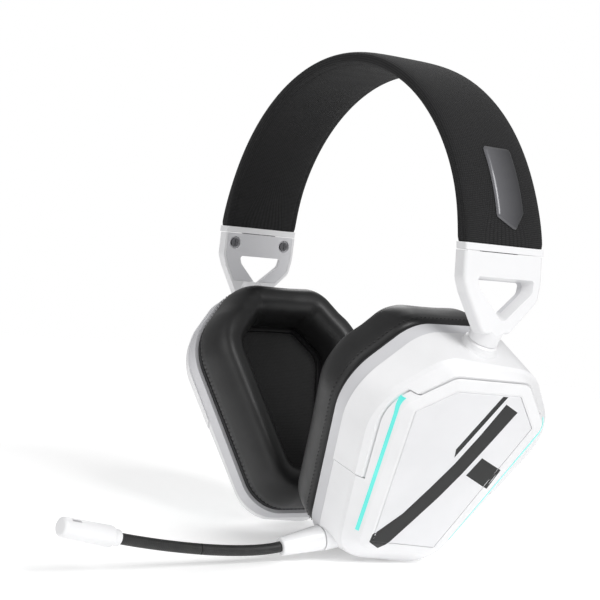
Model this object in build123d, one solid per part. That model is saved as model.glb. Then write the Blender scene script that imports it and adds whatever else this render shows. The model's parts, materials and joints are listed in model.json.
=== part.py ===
from build123d import *
import os
from math import asin, atan2, cos, hypot, radians, sin, sqrt, tan

# Wireless gaming headset: a sprung headband, two sliding yokes, two canted ear cups on ball-headed pins,
# and a plug-in microphone on the left cup.
# Frame: +X towards the wearer's left, -Y forwards, +Z up, origin under the crown of the headband.
# Millimetres throughout.

# --- general fits -----------------------------------------------------------------------------
part_gap = 0.1          # between pieces that are fastened together
moving_gap = 0.3        # between pieces on different bodies
running_gap = 0.05      # radial, pin in bore

# --- headband ---------------------------------------------------------------------------------
band_half_width = 89.7  # centre plane to the outside of the band, at its widest level
band_rise = 87.4        # widest level to the top of the band
band_width = 38.0       # front to back
band_thickness = 6.0
cover_wall = 0.8        # knitted sleeve
cover_edge = 2.2        # rounding of the sleeve's long edges
arch_strip = 1.4        # steel arch
arch_width = 28.0
collar_level = 9.1      # lower face of the end collar, above the widest level
collar_height = 2.6
guide_top = 34.0        # top of the slider guide, above the widest level
badge_width = 13.5
badge_length = 31.0
badge_thickness = 1.0
badge_level = 33.0      # middle of the badge, above the widest level
badge_back = 2.5        # and behind the middle of the band

# --- sliding yoke -----------------------------------------------------------------------------
slide_slope = 0.15      # outward travel per unit of downward travel
blade_width = 18.0
blade_thickness = 1.0
blade_inset = 4.4         # outside of the band to the blade, at the collar
blade_up = 23.0         # blade inside the headband when the yoke is fully up
blade_down = 7.0        # blade held in the yoke
yoke_slope = 0.056      # the yoke's own outward lean
yoke_cover_wall = 1.5
cover_reach = 0.74      # share of the yoke's height that its cover takes
yoke_rim = 7.6          # height of the yoke's upright sides
yoke_drop = 30.0        # collar face to the tip of the yoke
yoke_spare = 2.0        # cut off level under the collar
window_width = 27.0
window_height = 16.0
window_top = -9.6
window_back = 1.0
neck_radius = 5.9
screw_radius = 1.6
screw_spread = 27.0
screw_drop = 4.4

# --- ear cup outline, in the cup's own frame (X outwards, Y rearwards, Z up) ------------------
cup_half_width = 42.4
cup_wide_level = 25.1   # height of the widest corners
cup_top_half = 20.3
cup_top = 50.9
cup_bottom_half = 23.2
cup_bottom = 52.4
end_radius = 17.4
side_radius = 27.0

# --- ear cup depths ---------------------------------------------------------------------------
frame_depth = 6.2       # grey frame ring
shell_wall = 2.2
hood_proud = 0.5        # the hood stands this far off the core shell
face_depth = 28.5       # joint plane to the middle of the face plate
face_shift = 0.7
face_rise = 4.0
face_turn = 11.5        # degrees, the face is deeper at the rear
face_lean = 3.9         # degrees, and at the top
shoulder_depth = 7.0    # face plane back to the shoulder
shoulder_inset = 2.5
face_side_margin = 11.3
face_top_margin = 3.9
face_top_slope = 2.6    # the top edge falls towards the front
face_bottom_margin = 11.6
face_corner_step = 5.0
face_radius = 5.0
face_plate_wall = 1.6
facet_width = 3.6       # sloping border round the face plate
facet_drop = 1.1
face_plate_inset = 4.6
hood_lip = 4.3          # hood edge below the face plane, at the sides
hood_top_lip = 2.0      # and at the top
hood_step_level = 31.0  # where the edge steps, in the face plane
hood_bottom = -8.0      # lower edge of the hood
shadow_gap = 0.5
light_inset = 1.3       # face edge to the light guide
light_width = 1.2
light_depth = 4.2
light_low = -37.0       # lower and upper ends, in the face plane
light_high = 28.0

# --- ear cushion ------------------------------------------------------------------------------
cushion_depth = 18.8
cushion_plate_wall = 2.0
cushion_wall = 17.0     # width of the padding
cushion_round = 6.0

# --- cup pivot --------------------------------------------------------------------------------
pivot_out = 14.0        # pivot position in the cup's frame
pivot_back = 2.0
pivot_below_top = 3.9
pivot_inset = 10.1      # pivot position against the headband
pivot_forward = 2.1
pivot_drop = 30.0
cup_swivel = 2.5        # degrees
pad_gap = 2.6           # between the two cushions' lower corners
ball_radius = 4.4
ball_cavity = 4.9
stem_radius = 2.0
stem_length = 15.0
dome_radius = 9.0       # spherical joint face between the boss and the neck
boss_radius = 6.5
boss_foot = 7.5         # inside the hood
boss_depth = 5.6        # boss below the pivot
boss_mouth = 4.1
cross_pin_radius = 1.2

# --- speaker and electronics ------------------------------------------------------------------
baffle_wall = 2.0
screw_inset = 11.0      # baffle screws inside the cup's outline
screw_length = 5.0
driver_radius = 20.0
basket_flange = 2.5
basket_depth = 6.0
magnet_radius = 12.0
magnet_depth = 4.5
board_width = 30.0
board_height = 22.0
board_wall = 1.2
battery_width = 30.0
battery_height = 18.0
battery_depth = 4.6

# --- controls on the rear edge of the left cup ------------------------------------------------
control_depth = 17.0    # distance out from the joint plane
button_length = 9.0
button_width = 4.6
button_proud = 0.9
button_travel = 0.6
button_flange = 0.8
power_level = -14.5
mute_level = -25.8
wheel_level = -37.6
wheel_radius = 6.0
wheel_wall = 3.2
wheel_proud = 1.4
wheel_shaft = 1.0
port_back = -4.2        # across the bottom edge
port_width = 9.0
port_height = 3.3
port_depth = 7.0
port_wall = 0.7
jack_back = 6.6
jack_radius = 1.8
jack_length = 11.0
jack_body_radius = 3.6

# --- microphone, in a plane parallel to the left cup ------------------------------------------
mic_plane = 7.5
mic_root = (-21.6, -46.5)
mic_bends = [(-41.5, -50.7), (-62.0, -51.9), (-95.2, -46.9), (-116.5, -41.7)]
mic_end = (-141.0, -35.1)
socket_radius = 5.4
socket_proud = 1.9
plug_radius = 1.75
plug_length = 12.0
mic_base_radius = 5.2
mic_base_end = 3.6
gooseneck_radius = 2.1
bend_clearance = 1.3    # bend centre to the rim of the next length
stretch_relief = 0.6    # where a length meets the base or the capsule
capsule_radius = 4.0
capsule_neck = 3.1

crown = band_rise - band_thickness          # inside of the band's crown above its widest level
turn_slope = tan(radians(face_turn))
lean_slope = tan(radians(face_lean))
pivot_up = cup_top - pivot_below_top


def rounded_face(corners, radii):
    """A flat outline through the corners, each corner rounded by its own radius."""
    face = make_face(Polyline(*corners, close=True))
    for corner, radius in zip(corners, radii):
        vertex = face.vertices().sort_by_distance(Vector(corner[0], corner[1], 0))[0]
        face = fillet(vertex, radius)
    return face


def inset_corners(corners, inset):
    """The corners of the outline whose sides lie the inset inside, for corners listed clockwise."""
    moved = []
    count = len(corners)
    for index in range(count):
        before = Vector(*corners[index - 1])
        here = Vector(*corners[index])
        after = Vector(*corners[(index + 1) % count])
        side_in = (here - before).normalized()
        side_out = (after - here).normalized()
        normal_in = Vector(side_in.Y, -side_in.X)
        normal_out = Vector(side_out.Y, -side_out.X)
        reach = inset / (1 + normal_in.dot(normal_out))
        corner = here + (normal_in + normal_out) * reach
        moved.append((corner.X, corner.Y))
    return moved


def cup_corners(inset=0.0):
    """The six corners of the cup, clockwise from the top front."""
    corners = [
        (-cup_top_half, cup_top),
        (cup_top_half, cup_top),
        (cup_half_width, cup_wide_level),
        (cup_bottom_half, -cup_bottom),
        (-cup_bottom_half, -cup_bottom),
        (-cup_half_width, cup_wide_level),
    ]
    return inset_corners(corners, inset)


def cup_outline(inset=0.0):
    """The cup's rounded outline as a face in the XY plane, Y up."""
    end = max(end_radius - inset, 3.0)
    side = max(side_radius - inset, 4.0)
    return rounded_face(cup_corners(inset), [end, end, side, end, end, side])


def shoulder_outline(inset):
    """The cup's outline seen from the middle of the face plate."""
    return Pos(-face_shift, -face_rise) * cup_outline(inset)


def face_corners(inset=0.0):
    """The six corners of the face module, about the middle of the face plate."""
    top = cup_top - face_top_margin - face_rise
    top_front = top - face_top_slope
    bottom = cup_bottom - face_bottom_margin + face_rise
    side = cup_half_width - face_side_margin
    corners = [
        (-(cup_top_half - face_corner_step), top_front),
        (cup_top_half - face_corner_step, top),
        (side, cup_wide_level + 1),
        (cup_bottom_half - face_corner_step, -bottom),
        (-(cup_bottom_half - face_corner_step), -bottom),
        (-side, cup_wide_level + 1),
    ]
    return inset_corners(corners, inset)


def face_outline(inset=0.0):
    """The face module's rounded outline."""
    radius = max(face_radius - inset, 1.0)
    return rounded_face(face_corners(inset), [radius] * 6)


def face_plane(offset=0.0):
    """The plane of the face plate, moved along its own normal."""
    plane = Plane(
        origin=(face_depth, face_shift, face_rise),
        x_dir=(turn_slope, 1, 0),
        z_dir=(1, -turn_slope, -lean_slope),
    )
    return plane.offset(offset)


def cup_body(grow=0.0, lowest=frame_depth + part_gap):
    """The closed form of the cup's casing, grown or shrunk by a wall."""
    depth = min(grow, 0.0) * 1.6
    sections = [
        Plane.YZ.offset(lowest) * cup_outline(-grow),
        face_plane(depth - shoulder_depth) * shoulder_outline(shoulder_inset * 0.6 - grow),
        face_plane(depth - shoulder_depth * 0.78) * shoulder_outline(shoulder_inset - grow),
        face_plane(depth - facet_drop) * face_outline(-max(grow, -1.5)),
        face_plane(depth) * face_outline(facet_width - max(grow, -1.5)),
    ]
    return loft(sections, ruled=True)


def hood_zone(gap=0.0):
    """The part of the casing that belongs to the hood, shrunk by a gap."""
    reach = 300.0
    block = Box(reach, reach, reach, align=(Align.CENTER, Align.CENTER, Align.MAX))
    below_lip = face_plane(-hood_lip - gap) * block
    top_place = Pos(0, hood_step_level + reach / 2 + gap, -hood_top_lip - gap - reach / 2)
    top_box = top_place * Box(reach, reach, reach)
    upper = Pos(0, 0, hood_bottom + gap + reach / 2) * Box(reach, reach, reach)
    return (below_lip + face_plane() * top_box) & upper


def pivot_boss():
    """The hood's boss: bore for the ball, domed top that meets the yoke's neck."""
    flank_top = sqrt(dome_radius**2 - boss_radius**2)
    mouth_top = sqrt(dome_radius**2 - boss_mouth**2)
    crown_rise = sqrt(dome_radius**2 - ((boss_radius + boss_mouth) / 2) ** 2)
    outline = Polyline(
        (boss_mouth, mouth_top),
        (boss_mouth, 2.6),
        (ball_cavity, 0.6),
        (ball_cavity, -boss_depth),
        (boss_foot, -boss_depth),
        (boss_foot, pivot_below_top - 0.4),
        (boss_radius + 0.4, pivot_below_top + 0.6),
        (boss_radius + 0.1, pivot_below_top + 1.6),
        (boss_radius, flank_top),
    )
    dome = ThreePointArc(
        (boss_radius, flank_top),
        ((boss_radius + boss_mouth) / 2, crown_rise),
        (boss_mouth, mouth_top),
    )
    profile = Plane.XZ * make_face(outline + dome)
    boss = revolve(profile, Axis.Z)
    pin_hole = Rot(90, 0, 0) * Cylinder(cross_pin_radius, 4 * boss_foot)
    return Pos(pivot_out, pivot_back, pivot_up) * (boss - pin_hole)


def make_hood():
    """Upper outer shell with its pivot boss."""
    shell = cup_body(hood_proud) - cup_body(-shell_wall, frame_depth - 1)
    hood = shell & hood_zone()
    bore = Pos(pivot_out, pivot_back, pivot_up + 2) * Cylinder(boss_foot - 0.6, 2 * boss_depth)
    return (hood - bore) + pivot_boss()


def light_ring(inset_grow=0.0):
    """Both light guides as one piece of the sloping edge of the face module."""
    outside = face_outline(-light_inset - light_width - inset_grow)
    ring = outside - face_outline(-light_inset + inset_grow)
    slab = face_plane(-light_depth - inset_grow) * extrude(ring, light_depth + 3)
    span = Pos(0, 0, face_rise + (light_high + light_low) / 2) * Box(200, 200, light_high - light_low)
    return slab & span


def make_lights():
    """The front and rear light guides."""
    rings = light_ring() & cup_body(0.2)
    front = rings & (Pos(0, -100, 0) * Box(300, 200, 300))
    rear = rings & (Pos(0, 100, 0) * Box(300, 200, 300))
    return front, rear


def control_frame(level):
    """A place on the rear edge of the cup: Z outwards, X along the cup's depth, Y up the edge."""
    rise = cup_wide_level + cup_bottom
    run = cup_half_width - cup_bottom_half
    outward = Vector(0, rise, -run).normalized()
    across = cup_half_width - (cup_wide_level - level) * run / rise
    share = (control_depth - frame_depth) / (face_depth - shoulder_depth - frame_depth)
    shrink = shoulder_inset * 0.6 * share
    origin = Vector(control_depth, across, level) - outward * min(shrink, 1.1)
    return Plane(origin=origin, x_dir=(1, 0, 0), z_dir=outward)


def button_shape(grow=0.0):
    """Pill outline of a button."""
    return SlotOverall(button_length + 2 * grow, button_width + 2 * grow, rotation=90)


def cut_controls(shell):
    """Openings in the rear edge for the buttons, the wheel and the sockets."""
    for level in (power_level, mute_level):
        shell = shell - control_frame(level) * extrude(button_shape(moving_gap), 8, both=True)
    wheel_slot = Box(wheel_wall + 2 * moving_gap, 2 * wheel_radius, 16)
    shell = shell - control_frame(wheel_level) * wheel_slot
    opening = RectangleRounded(port_height + 2 * part_gap, port_width + 2 * part_gap, 1.5)
    port = extrude(opening, 8, both=True)
    shell = shell - bottom_frame(port_back) * port
    return shell - bottom_frame(jack_back) * Cylinder(jack_body_radius + part_gap, 16)


def bottom_frame(back):
    """A place on the bottom edge of the cup: Z outwards, X along the cup's depth."""
    origin = Vector(control_depth - 4, back, -cup_bottom + 0.7)
    return Plane(origin=origin, x_dir=(1, 0, 0), z_dir=(0, 0, -1))


def mic_direction():
    """Unit vector of the microphone base, away from the cup."""
    first = Vector(0, mic_bends[0][0] - mic_root[0], mic_bends[0][1] - mic_root[1])
    return first.normalized()


def mic_frame():
    """The microphone socket's place: Z away from the cup."""
    return Plane(origin=(mic_plane, *mic_root), x_dir=(1, 0, 0), z_dir=mic_direction())


def socket_hole(grow):
    """The hole for the microphone socket."""
    return mic_frame() * Pos(0, 0, -4) * Cylinder(socket_radius + grow, 16)


def make_core(side):
    """Lower outer shell with the six-sided face module."""
    shell = cup_body() - cup_body(-shell_wall, frame_depth - 1)
    core = shell - hood_zone(-shadow_gap)
    pocket = extrude(face_outline(face_plate_inset - part_gap), 10)
    pocket = face_plane(-face_plate_wall - part_gap) * pocket
    core = core - pocket - light_ring(part_gap / 2)
    if side == "left":
        core = cut_controls(core) - socket_hole(part_gap / 2)
    return core


def make_face_plate():
    """The flat outer plate, a little proud of its seat."""
    plate = extrude(face_outline(face_plate_inset), face_plate_wall)
    plate = chamfer(plate.faces().sort_by(Axis.Z)[-1].edges(), 0.4)
    return face_plane(-face_plate_wall + 0.2) * plate


def make_baffle(side):
    """Grey frame ring with the plate that carries the speaker."""
    ring = extrude(cup_outline(), frame_depth) - extrude(cup_outline(3.2), frame_depth)
    plate = extrude(cup_outline(3.0), baffle_wall) - Cylinder(driver_radius, 4 * baffle_wall)
    for x, y in screw_places():
        plate = plate - Pos(x, y) * Cylinder(screw_radius, 4 * baffle_wall)
    baffle = Plane.YZ * (ring + plate)
    if side == "left":
        baffle = baffle - socket_hole(part_gap / 2)
    return baffle


def screw_places():
    """The baffle's screws: two near the top corners, and two half-way down the sloping sides."""
    inner = inset_corners(cup_corners(), screw_inset)
    rear = Vector(*inner[2]) * 0.5 + Vector(*inner[3]) * 0.5
    front = Vector(*inner[5]) * 0.5 + Vector(*inner[4]) * 0.5
    return [inner[0], inner[1], (rear.X, rear.Y), (front.X, front.Y)]


def screw(radius, length):
    """A pan-head screw with a cross recess, head at the top."""
    body = Cylinder(radius, length, align=(Align.CENTER, Align.CENTER, Align.MAX))
    head = Cylinder(1.7 * radius, 0.7 * radius, align=(Align.CENTER, Align.CENTER, Align.MIN))
    slot = Box(2.2 * radius, 0.4 * radius, 0.6 * radius) + Box(0.4 * radius, 2.2 * radius, 0.6 * radius)
    return body + head - Pos(0, 0, 0.7 * radius) * slot


def make_cup_screws():
    """The four screws through the baffle."""
    flip = Plane(origin=(-0.02, 0, 0), x_dir=(0, 1, 0), z_dir=(-1, 0, 0))
    solids = []
    for x, y in screw_places():
        solids.append(flip * Pos(x, -y, 0) * screw(screw_radius - part_gap / 2, screw_length))
    return Compound(children=solids)


def make_cushion_plate():
    """The cushion's clip-on plate."""
    ring = cup_outline(1.5) - cup_outline(cushion_wall + 1)
    plate = extrude(ring, cushion_plate_wall)
    for x, y in screw_places():
        plate = plate - Pos(x, y) * Cylinder(2 * screw_radius, 10)
    return Plane.YZ.offset(-cushion_plate_wall - part_gap) * plate


def make_cushion():
    """The ear cushion: a padded ring with rounded edges."""
    padding = extrude(cup_outline(0.6), cushion_depth) - extrude(cup_outline(cushion_wall), cushion_depth)
    rim = padding.faces().sort_by(Axis.Z)[-1].edges()
    padding = fillet(rim, cushion_round)
    start = -cushion_plate_wall - 2 * part_gap
    outwards = Plane(origin=(start, 0, 0), x_dir=(0, -1, 0), z_dir=(-1, 0, 0))
    return outwards * padding


def make_grille():
    """Cloth in front of the speaker."""
    cloth = extrude(cup_outline(cushion_wall + 1.2), 0.5)
    for x, y in screw_places():
        cloth = cloth - Pos(x, y) * Cylinder(2 * screw_radius, 10)
    return Plane.YZ.offset(-0.5 - part_gap) * cloth


def make_driver():
    """Speaker basket, magnet and diaphragm."""
    basket = Cylinder(driver_radius + basket_flange, 1.2, align=(Align.CENTER, Align.CENTER, Align.MIN))
    basket = basket + Cylinder(driver_radius - 2, basket_depth, align=(Align.CENTER, Align.CENTER, Align.MIN))
    basket = basket - Cylinder(driver_radius - 3.5, 2 * basket_depth - 2.4)
    magnet = Cylinder(magnet_radius, magnet_depth, align=(Align.CENTER, Align.CENTER, Align.MIN))
    cone_profile = Polyline(
        (0, 1.0),
        (7, 0.2),
        (driver_radius - 4, 0.9),
        (driver_radius - 4, 1.3),
        (7, 0.6),
        (0, 1.4),
        close=True,
    )
    diaphragm = revolve(Plane.XZ * make_face(cone_profile), Axis.Z)
    start = baffle_wall + part_gap
    seat = Plane.YZ.offset(start)
    return (
        seat * basket,
        Plane.YZ.offset(start + basket_depth + part_gap) * magnet,
        Plane.YZ.offset(start + 0.5) * diaphragm,
    )


def inner_place(level):
    """A place inside the cup below or above the speaker."""
    return Plane.YZ.offset(frame_depth + 1.5) * Pos(0, level)


def make_board():
    """Circuit board with its main chip and radio module."""
    board = extrude(RectangleRounded(board_width, board_height * 0.6, 1.5), board_wall)
    board = board + Pos(-5, 0, board_wall + 0.5) * Box(6, 6, 1.0)
    board = board + Pos(7, 0, board_wall + 0.7) * Box(9, 6, 1.4)
    return inner_place(-cup_bottom * 0.62) * board


def make_battery():
    """Rechargeable pouch cell."""
    cell = extrude(RectangleRounded(battery_width, battery_height * 0.6, 1.5), battery_depth)
    cell = fillet(cell.edges().filter_by(Plane.XY), 0.6)
    return inner_place(-cup_bottom * 0.62) * cell


def make_pivot():
    """Ball-headed swivel pin and cross pin, in the cup's frame."""
    pin = Sphere(ball_radius) + Cylinder(stem_radius, stem_length, align=(Align.CENTER, Align.CENTER, Align.MIN))
    pin = pin - Rot(90, 0, 0) * Cylinder(cross_pin_radius + running_gap, 30)
    cross = Rot(90, 0, 0) * Cylinder(cross_pin_radius - 0.01, 2 * boss_foot - 1)
    place = Pos(pivot_out, pivot_back, pivot_up)
    return place * pin, place * cross


def make_button(level):
    """A pill-shaped button with its flange behind the wall."""
    cap = extrude(button_shape(), button_proud + 4.2)
    cap = fillet(cap.faces().sort_by(Axis.Z)[-1].edges(), 0.5)
    flange = extrude(button_shape(button_flange), 1.0)
    return control_frame(level).offset(-4.2) * (cap + flange)


def make_switches():
    """The two tactile switches behind the buttons, on one carrier strip."""
    solids = []
    for level in (power_level, mute_level):
        body = Box(5, 5, 2, align=(Align.CENTER, Align.CENTER, Align.MAX))
        solids.append(control_frame(level).offset(-4.2 - button_travel - 0.1) * body)
    return Compound(children=solids)


def make_wheel():
    """Knurled volume wheel with its stub shafts."""
    wheel = Cylinder(wheel_radius, wheel_wall)
    for step in range(24):
        wheel = wheel - Rot(0, 0, step * 15) * Pos(wheel_radius + 0.25, 0, 0) * Cylinder(0.5, 2 * wheel_wall)
    wheel = wheel + Cylinder(wheel_shaft, wheel_wall + 4)
    centre = control_frame(wheel_level).offset(wheel_proud - wheel_radius).origin
    place = Plane(origin=centre, x_dir=(0, 1, 0), z_dir=(1, 0, 0))
    return place * wheel


def make_port():
    """Charging socket."""
    outside = RectangleRounded(port_height, port_width, port_height * 0.42)
    opening = RectangleRounded(port_height - port_wall, port_width - port_wall, port_height * 0.33)
    socket = extrude(outside - opening, -port_depth)
    floor = Pos(0, 0, -port_depth + 1) * extrude(outside, -1)
    tongue_size = (port_wall, port_width - 2.6, port_depth - 1.5)
    tongue = Box(*tongue_size, align=(Align.CENTER, Align.CENTER, Align.MIN))
    tongue = Pos(0, 0, -port_depth + 0.5) * tongue
    return bottom_frame(port_back).offset(-0.3) * (socket + floor + tongue)


def make_jack():
    """Audio jack: a bushing round the plug's bore."""
    body = Cylinder(jack_body_radius, jack_length, align=(Align.CENTER, Align.CENTER, Align.MAX))
    return bottom_frame(jack_back).offset(0.2) * (body - Cylinder(jack_radius, 4 * jack_length))


def make_mic_socket():
    """The ring that the microphone's base plugs into."""
    length = socket_proud + 10
    ring = Cylinder(socket_radius, length, align=(Align.CENTER, Align.CENTER, Align.MAX))
    ring = ring - Cylinder(plug_radius + running_gap, 4 * length)
    notch = Pos(0, -socket_radius, 0) * Box(1.6, 1.6, 2.4)
    return mic_frame().offset(socket_proud) * (ring - notch)


def mic_point(index):
    """A point of the microphone's line in the cup's frame."""
    line = [mic_root] + mic_bends + [mic_end]
    return Vector(mic_plane, line[index][0], line[index][1])


def stretch_frame(index):
    """A frame at a point of the microphone's line, Z along its next stretch."""
    start = mic_point(index)
    finish = mic_point(index + 1)
    return Plane(origin=start, x_dir=(1, 0, 0), z_dir=(finish - start).normalized())


def stretch_length(index):
    """The length of a stretch of the microphone's line."""
    return (mic_point(index + 1) - mic_point(index)).length


def make_mic_base():
    """Tapered base, with the plug that goes into the socket."""
    length = stretch_length(0)
    start = socket_proud + part_gap
    cone = Cone(mic_base_radius, mic_base_end, length - start, align=(Align.CENTER, Align.CENTER, Align.MIN))
    cone = fillet(cone.edges(), 0.8)
    base = mic_frame().offset(start) * cone
    plug = Cylinder(plug_radius, plug_length, align=(Align.CENTER, Align.CENTER, Align.MAX))
    return base, mic_frame().offset(start) * plug


def gooseneck_stretch(index, start, ball_at_start, ball_at_end):
    """One length of the flexible arm, with a ball or a cup at each bend."""
    length = stretch_length(index) - start
    bottom = (Align.CENTER, Align.CENTER, Align.MIN)
    rod = Pos(0, 0, start) * Cylinder(gooseneck_radius, length, align=bottom)
    if ball_at_start:
        rod = rod - Sphere(gooseneck_radius + moving_gap) - Box(9, 9, 2 * bend_clearance)
    if ball_at_end:
        rod = rod + Pos(0, 0, stretch_length(index)) * Sphere(gooseneck_radius)
    else:
        rod = rod - Pos(0, 0, stretch_length(index)) * Box(9, 9, 2 * stretch_relief)
    return stretch_frame(index) * rod


def make_capsule():
    """Microphone capsule: a tapered barrel with a slotted end, and the sensing element inside."""
    length = stretch_length(4)
    bottom = (Align.CENTER, Align.CENTER, Align.MIN)
    neck = Cylinder(capsule_neck, 3.0, align=bottom)
    barrel = Cone(capsule_radius, capsule_radius - 0.4, length - 2.6, align=bottom)
    barrel = fillet(barrel.edges(), 1.2)
    shell = neck + Pos(0, 0, 2.6) * barrel
    cavity = Pos(0, 0, length / 2 + 4) * Cylinder(capsule_radius - 1.5, length / 2 - 2)
    slot = Pos(0, 0, length - 5) * Box(1.2, 3 * capsule_radius, 4.0)
    shell = shell - cavity - slot
    element = Pos(0, 0, length / 2 + 2) * Cylinder(capsule_radius - 1.6, 3.0)
    return stretch_frame(4) * shell, stretch_frame(4) * element


def cup_frame():
    """The left cup's frame in the headset: the cant makes the cushions' lower corners nearly meet."""
    out = pivot_out + cushion_depth + cushion_plate_wall
    down = pivot_up + cup_bottom
    pivot_x = band_half_width - pivot_inset
    cant = asin((pivot_x - pad_gap / 2) / hypot(out, down)) - atan2(out, down)
    swivel = radians(cup_swivel)
    outward = Vector(cos(swivel) * cos(cant), sin(swivel) * cos(cant), -sin(cant))
    rearward = Vector(-sin(swivel), cos(swivel), 0)
    upward = outward.cross(rearward)
    pivot = Vector(pivot_x, -pivot_forward, -pivot_drop - crown)
    origin = pivot - outward * pivot_out - rearward * pivot_back - upward * pivot_up
    return Plane(origin=origin, x_dir=rearward, z_dir=outward), pivot, outward, rearward, upward


def place_cup(shape):
    """Puts a piece from the cup's frame (X outwards) into the headset."""
    plane = cup_frame()[0]
    to_plane = Plane(origin=(0, 0, 0), x_dir=(0, 1, 0), z_dir=(1, 0, 0))
    return plane.location * to_plane.location.inverse() * shape


def arch_ring(outer_depth, inner_depth, width, lowest, highest=1000.0):
    """A stretch of both legs of the band between two depths under its outside, above a level."""
    outer = Ellipse(band_half_width - outer_depth, band_rise - outer_depth)
    inner = Ellipse(band_half_width - inner_depth, band_rise - inner_depth)
    ring = extrude(Plane.XZ * (outer - inner), width / 2, both=True)
    height = highest - lowest
    return ring & (Pos(0, 0, lowest + height / 2) * Box(400, 100, height))


def lower(shape):
    """Moves a piece from the band's widest level to the headset's origin."""
    return Pos(0, 0, -crown) * shape


def right_leg_cut(shape):
    """Keeps the left leg's part of a piece of the arch."""
    return shape & (Pos(100, 0, 0) * Box(200, 200, 400))


def slide_axis():
    """Unit vector of the left yoke's travel."""
    return Vector(slide_slope, 0, -1).normalized()


def blade_frame():
    """The slider blade's frame: origin in the collar's lower face, Z up along the travel."""
    middle = band_half_width - blade_inset
    return Plane(origin=(middle, 0, collar_level), x_dir=(0, 1, 0), z_dir=slide_axis() * -1)


def blade_solid(grow, up, down):
    """The blade, grown for the slot it runs in."""
    bottom = (Align.CENTER, Align.CENTER, Align.MIN)
    blade = Box(blade_width + 2 * grow, blade_thickness + 2 * grow, up + down, align=bottom)
    return blade_frame() * Pos(0, 0, -down) * blade


def make_cover():
    """Knitted sleeve round the arch, open at its two ends."""
    start = collar_level + collar_height + part_gap
    sleeve = arch_ring(0, band_thickness, band_width, start)
    long_edges = [edge for edge in sleeve.edges() if edge.length > band_rise]
    sleeve = fillet(long_edges, cover_edge)
    cavity = arch_ring(cover_wall, band_thickness - cover_wall, band_width - 4 * cover_wall, start - 5)
    return sleeve - cavity


def make_arch():
    """Sprung steel arch between the two slider guides."""
    depth = cover_wall + 0.4
    return arch_ring(depth, depth + arch_strip, arch_width, guide_top + part_gap)


def make_pad():
    """Foam under the crown, between the arch and the sleeve."""
    depth = cover_wall + 0.4 + arch_strip + part_gap
    floor = band_thickness - cover_wall - part_gap
    return arch_ring(depth, floor, band_width - 6 * cover_wall, guide_top + part_gap)


def make_guide():
    """Slider guide in the left end of the sleeve."""
    start = collar_level + collar_height + part_gap
    roof = cover_wall + part_gap
    block = arch_ring(roof, band_thickness - roof, arch_width, start, guide_top)
    return right_leg_cut(block) - blade_solid(0.15, blade_up + 1.0, 20)


def make_collar():
    """White collar that ends the sleeve."""
    top = collar_level + collar_height
    block = arch_ring(-0.2, band_thickness + 0.2, band_width + 0.4, collar_level, top)
    block = right_leg_cut(block)
    uprights = [edge for edge in block.edges() if edge.length < collar_height * 1.3]
    block = fillet(uprights, 1.0)
    return block - blade_solid(0.15, blade_up, 20)


def make_badge():
    """Long five-sided badge on the outside of the band."""
    half = badge_width / 2
    corners = [
        (-half, badge_length / 2),
        (half, badge_length / 2),
        (half, -badge_length / 2 + half),
        (half * 0.3, -badge_length / 2),
        (-half, -badge_length / 2 + half * 0.7),
    ]
    plan = rounded_face(corners, [1.5] * 5)
    plane = Plane(origin=(0, badge_back, badge_level), x_dir=(0, 1, 0), z_dir=(1, 0, 0))
    prism = plane * extrude(plan, 2 * band_half_width)
    return prism & arch_ring(-badge_thickness, -part_gap / 2, band_width, collar_level)


def yoke_frame():
    """The left yoke's frame: origin in its top face, Y up along it, Z outwards."""
    origin = (band_half_width - yoke_slope * collar_level, 0, collar_level)
    upward = Vector(-yoke_slope, 0, 1).normalized()
    outward = Vector(0, 1, 0).cross(upward)
    return Plane(origin=origin, x_dir=(0, 1, 0), z_dir=outward)


def under_collar(shape):
    """Cuts a piece of the yoke level, a moving gap under the collar."""
    size = 200.0
    return shape & (Pos(0, 0, collar_level - moving_gap - size / 2) * Box(size * 2, size, size))


def yoke_plan(inset=0.0):
    """The yoke's V-shaped plan: X rearwards, Y up."""
    half = band_width / 2
    corners = [
        (-half, yoke_spare),
        (half, yoke_spare),
        (half, -yoke_rim - 3),
        (half * 0.93, -yoke_drop * 0.58),
        (neck_radius - 1.4, -yoke_drop),
        (-neck_radius - 2.6, -yoke_drop - 0.6),
        (-half * 0.9, -yoke_drop * 0.52),
        (-half, -yoke_rim - 3),
    ]
    corners = inset_corners(corners, inset)
    return rounded_face(corners, [0.8, 0.8, 8.0, 5.0, 3.0, 3.0, 8.0, 6.0])


def above_neck(gap):
    """A block in the yoke's frame over everything above its neck, as far as its cover reaches."""
    size = 90.0
    return Pos(0, size / 2 - cover_reach * yoke_drop + gap, 0) * Box(size, size, size)


def window_plan(scale):
    """The yoke's shield-shaped window."""
    half = window_width / 2 * scale
    height = window_height * scale
    top = window_top - (1 - scale) * window_height * 0.3
    corners = [
        (window_back - half, top),
        (window_back + half, top),
        (window_back + half * 0.94, top - height * 0.3),
        (window_back - half * 0.05, top - height),
        (window_back - half * 0.9, top - height * 0.27),
    ]
    return rounded_face(corners, [1.2, 1.2, 3.5, 2.6, 3.5])


def window_solid(inner, outer):
    """The window's tapering hole between two depths."""
    return loft([Pos(0, 0, -inner) * window_plan(0.82), Pos(0, 0, -outer) * window_plan(1.04)], ruled=True)


def neck_solid(radius, low, high):
    """A round piece on the swivel axis, between two heights over the pivot."""
    pivot, upward = cup_frame()[1], cup_frame()[4]
    plane = Plane(origin=pivot + Vector(0, 0, crown), x_dir=cup_frame()[3], z_dir=upward)
    bottom = (Align.CENTER, Align.CENTER, Align.MIN)
    return plane.offset(low) * Cylinder(radius, high - low, align=bottom)


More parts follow.
